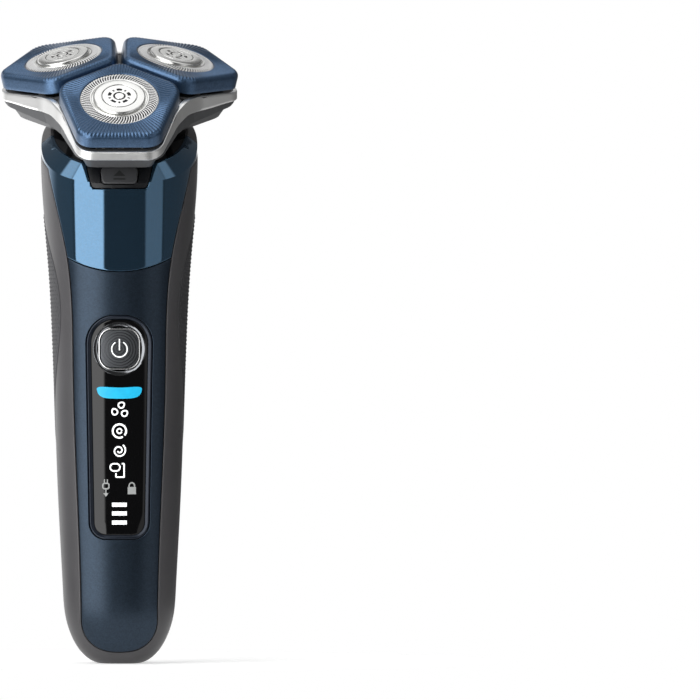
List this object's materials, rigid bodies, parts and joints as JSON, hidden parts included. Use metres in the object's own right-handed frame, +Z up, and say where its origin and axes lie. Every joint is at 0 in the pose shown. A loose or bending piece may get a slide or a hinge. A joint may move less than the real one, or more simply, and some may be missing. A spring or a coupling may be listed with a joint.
{
  "type": "electric shaver",
  "caption": "Handheld rotary electric shaver with tilting cap heads, hinged head unit, display window, power button and release button.",
  "frame": {"origin": "centre of the flat foot under the handle", "axes": "+Z up the handle to the head, front with the display and buttons faces -Y, +X to the right seen from the front"},
  "size_m": [0.0656, 0.0594, 0.1733],
  "materials": {
    "warm_grey_plastic": "satin moulded plastic",
    "grip_rubber": "soft rubber with fine dots",
    "satin_navy": "satin metallic navy lacquer",
    "gloss_navy": "mirror-gloss navy",
    "black_gloss": "high gloss black",
    "navy_bezel": "gloss navy frame",
    "display_black": "black display glass, opaque when off",
    "cyan_light": "lit light guide",
    "bright_ring": "bright chrome",
    "spun_button": "dark spun metal",
    "dark_grey_plastic": "satin moulded plastic",
    "inner_plastic": "moulded plastic",
    "screw_steel": "zinc plated",
    "board_green": "solder mask",
    "cell_sleeve": "shrink sleeve",
    "nickel": "nickel plated",
    "motor_steel": "drawn steel can",
    "shaft_steel": "ground steel",
    "black_plastic": "moulded plastic",
    "silver_frame": "satin silver lacquer",
    "gear_plastic": "natural acetal",
    "metallic_blue": "metallic steel blue",
    "cap_steel": "polished stainless steel",
    "badge_steel": "polished stainless steel",
    "cutter_steel": "ground steel"
  },
  "bodies": {
    "handle": {"rear_shell": "warm_grey_plastic", "rear_grip": "grip_rubber", "lower_cover": "satin_navy", "upper_cover": "gloss_navy", "top_collar": "black_gloss", "window_bezel": "navy_bezel", "display_window": "display_black", "indicator_bar": "cyan_light", "button_ring": "bright_ring", "release_housing": "black_gloss", "inner_chassis": "inner_plastic", "chassis_screws": "screw_steel", "main_board": "board_green", "power_switch": "inner_plastic", "battery_cell": "cell_sleeve", "battery_contacts": "nickel", "motor_can": "motor_steel", "motor_bracket": "inner_plastic", "charging_inlet": "black_plastic", "charging_pins": "nickel", "neck_boss": "black_plastic"},
    "motor": {"motor_rotor": "shaft_steel"},
    "neck": {"neck_spindle": "shaft_steel"},
    "button": {"power_button": "spun_button"},
    "release": {"release_button": "dark_grey_plastic"},
    "chamber": {"hair_chamber": "dark_grey_plastic"},
    "frame": {"head_frame": "silver_frame", "gear_plate": "black_plastic", "plate_screws": "screw_steel", "hinge_pin": "shaft_steel"},
    "pinion": {"central_gear": "gear_plastic"},
    "gimbal_front": {"gimbal_ring_front": "gear_plastic"},
    "petal_front": {"petal_front": "metallic_blue", "slotted_cap_front": "cap_steel", "cap_badge_front": "badge_steel", "retaining_ring_front": "black_plastic"},
    "cutter_front": {"rotary_cutter_front": "cutter_steel"},
    "gear_front": {"driven_gear_front": "gear_plastic", "drive_spindle_front": "shaft_steel"},
    "gimbal_right": {"gimbal_ring_right": "gear_plastic"},
    "petal_right": {"petal_right": "metallic_blue", "slotted_cap_right": "cap_steel", "cap_badge_right": "badge_steel", "retaining_ring_right": "black_plastic"},
    "cutter_right": {"rotary_cutter_right": "cutter_steel"},
    "gear_right": {"driven_gear_right": "gear_plastic", "drive_spindle_right": "shaft_steel"},
    "gimbal_left": {"gimbal_ring_left": "gear_plastic"},
    "petal_left": {"petal_left": "metallic_blue", "slotted_cap_left": "cap_steel", "cap_badge_left": "badge_steel", "retaining_ring_left": "black_plastic"},
    "cutter_left": {"rotary_cutter_left": "cutter_steel"},
    "gear_left": {"driven_gear_left": "gear_plastic", "drive_spindle_left": "shaft_steel"}
  },
  "joints": [
    {"name": "motor_spin", "type": "hinge", "parent": "handle", "child": "motor", "pos_m": [0, 0.00427, 0.12], "axis": [0, 0, 1], "continuous": true},
    {"name": "neck_spin", "type": "hinge", "parent": "handle", "child": "neck", "pos_m": [0, 0.00296, 0.14503], "axis": [0, -0.4384, 0.8988], "continuous": true},
    {"name": "power_button_press", "type": "slide", "parent": "handle", "child": "button", "axis": [0, 1, 0], "range_m": [0, 0.0006], "stiffness_N_per_m": 600},
    {"name": "release_button_press", "type": "slide", "parent": "handle", "child": "release", "axis": [0, 1, 0], "range_m": [0, 0.001], "stiffness_N_per_m": 800},
    {"name": "head_lift", "type": "slide", "parent": "handle", "child": "chamber", "axis": [0, -0.4384, 0.8988], "range_m": [0, 0.012]},
    {"name": "head_open", "type": "hinge", "parent": "chamber", "child": "frame", "pos_m": [0, 0.02423, 0.16392], "axis": [-1, 0, 0], "range_deg": [0, 95]},
    {"name": "pinion_spin", "type": "hinge", "parent": "frame", "child": "pinion", "pos_m": [0, -0.00142, 0.15402], "axis": [0, -0.4384, 0.8988], "continuous": true},
    {"name": "flex_front_pitch", "type": "hinge", "parent": "frame", "child": "gimbal_front", "pos_m": [0, -0.02001, 0.15307], "axis": [1, 0, 0], "range_deg": [-2, 2], "stiffness_Nm_per_rad": 0.4},
    {"name": "flex_front_roll", "type": "hinge", "parent": "gimbal_front", "child": "petal_front", "pos_m": [0, -0.02001, 0.15307], "axis": [0, -0.7615, -0.6481], "range_deg": [-2, 2], "stiffness_Nm_per_rad": 0.4},
    {"name": "cutter_front_spin", "type": "hinge", "parent": "petal_front", "child": "cutter_front", "pos_m": [0, -0.02209, 0.15551], "axis": [0, -0.6481, 0.7615], "continuous": true},
    {"name": "gear_front_spin", "type": "hinge", "parent": "frame", "child": "gear_front", "pos_m": [0, -0.01581, 0.147], "axis": [0, -0.4384, 0.8988], "continuous": true},
    {"name": "flex_right_pitch", "type": "hinge", "parent": "frame", "child": "gimbal_right", "pos_m": [0.01483, 0.00307, 0.16433], "axis": [-0.5, 0.7784, 0.3796], "range_deg": [-2, 2], "stiffness_Nm_per_rad": 0.4},
    {"name": "flex_right_roll", "type": "hinge", "parent": "gimbal_right", "child": "petal_right", "pos_m": [0.01483, 0.00307, 0.16433], "axis": [0.8388, 0.5443, -0.0112], "range_deg": [-2, 2], "stiffness_Nm_per_rad": 0.4},
    {"name": "cutter_right_spin", "type": "hinge", "parent": "petal_right", "child": "cutter_right", "pos_m": [0.01552, 0.00207, 0.16729], "axis": [0.2154, -0.3128, 0.9251], "continuous": true},
    {"name": "gear_right_spin", "type": "hinge", "parent": "frame", "child": "gear_right", "pos_m": [0.01386, 0.00577, 0.15753], "axis": [0, -0.4384, 0.8988], "continuous": true},
    {"name": "flex_left_pitch", "type": "hinge", "parent": "frame", "child": "gimbal_left", "pos_m": [-0.01483, 0.00307, 0.16433], "axis": [-0.5, -0.7784, -0.3796], "range_deg": [-2, 2], "stiffness_Nm_per_rad": 0.4},
    {"name": "flex_left_roll", "type": "hinge", "parent": "gimbal_left", "child": "petal_left", "pos_m": [-0.01483, 0.00307, 0.16433], "axis": [-0.8388, 0.5443, -0.0112], "range_deg": [-2, 2], "stiffness_Nm_per_rad": 0.4},
    {"name": "cutter_left_spin", "type": "hinge", "parent": "petal_left", "child": "cutter_left", "pos_m": [-0.01552, 0.00207, 0.16729], "axis": [-0.2154, -0.3128, 0.9251], "continuous": true},
    {"name": "gear_left_spin", "type": "hinge", "parent": "frame", "child": "gear_left", "pos_m": [-0.01386, 0.00577, 0.15753], "axis": [0, -0.4384, 0.8988], "continuous": true}
  ],
  "couplings": [
    {"joint": "neck_spin", "follows": "motor_spin", "ratio": 1},
    {"joint": "pinion_spin", "follows": "motor_spin", "ratio": 1},
    {"joint": "cutter_front_spin", "follows": "motor_spin", "ratio": -0.42857},
    {"joint": "gear_front_spin", "follows": "motor_spin", "ratio": -0.42857},
    {"joint": "cutter_right_spin", "follows": "motor_spin", "ratio": -0.42857},
    {"joint": "gear_right_spin", "follows": "motor_spin", "ratio": -0.42857},
    {"joint": "cutter_left_spin", "follows": "motor_spin", "ratio": -0.42857},
    {"joint": "gear_left_spin", "follows": "motor_spin", "ratio": -0.42857}
  ]
}
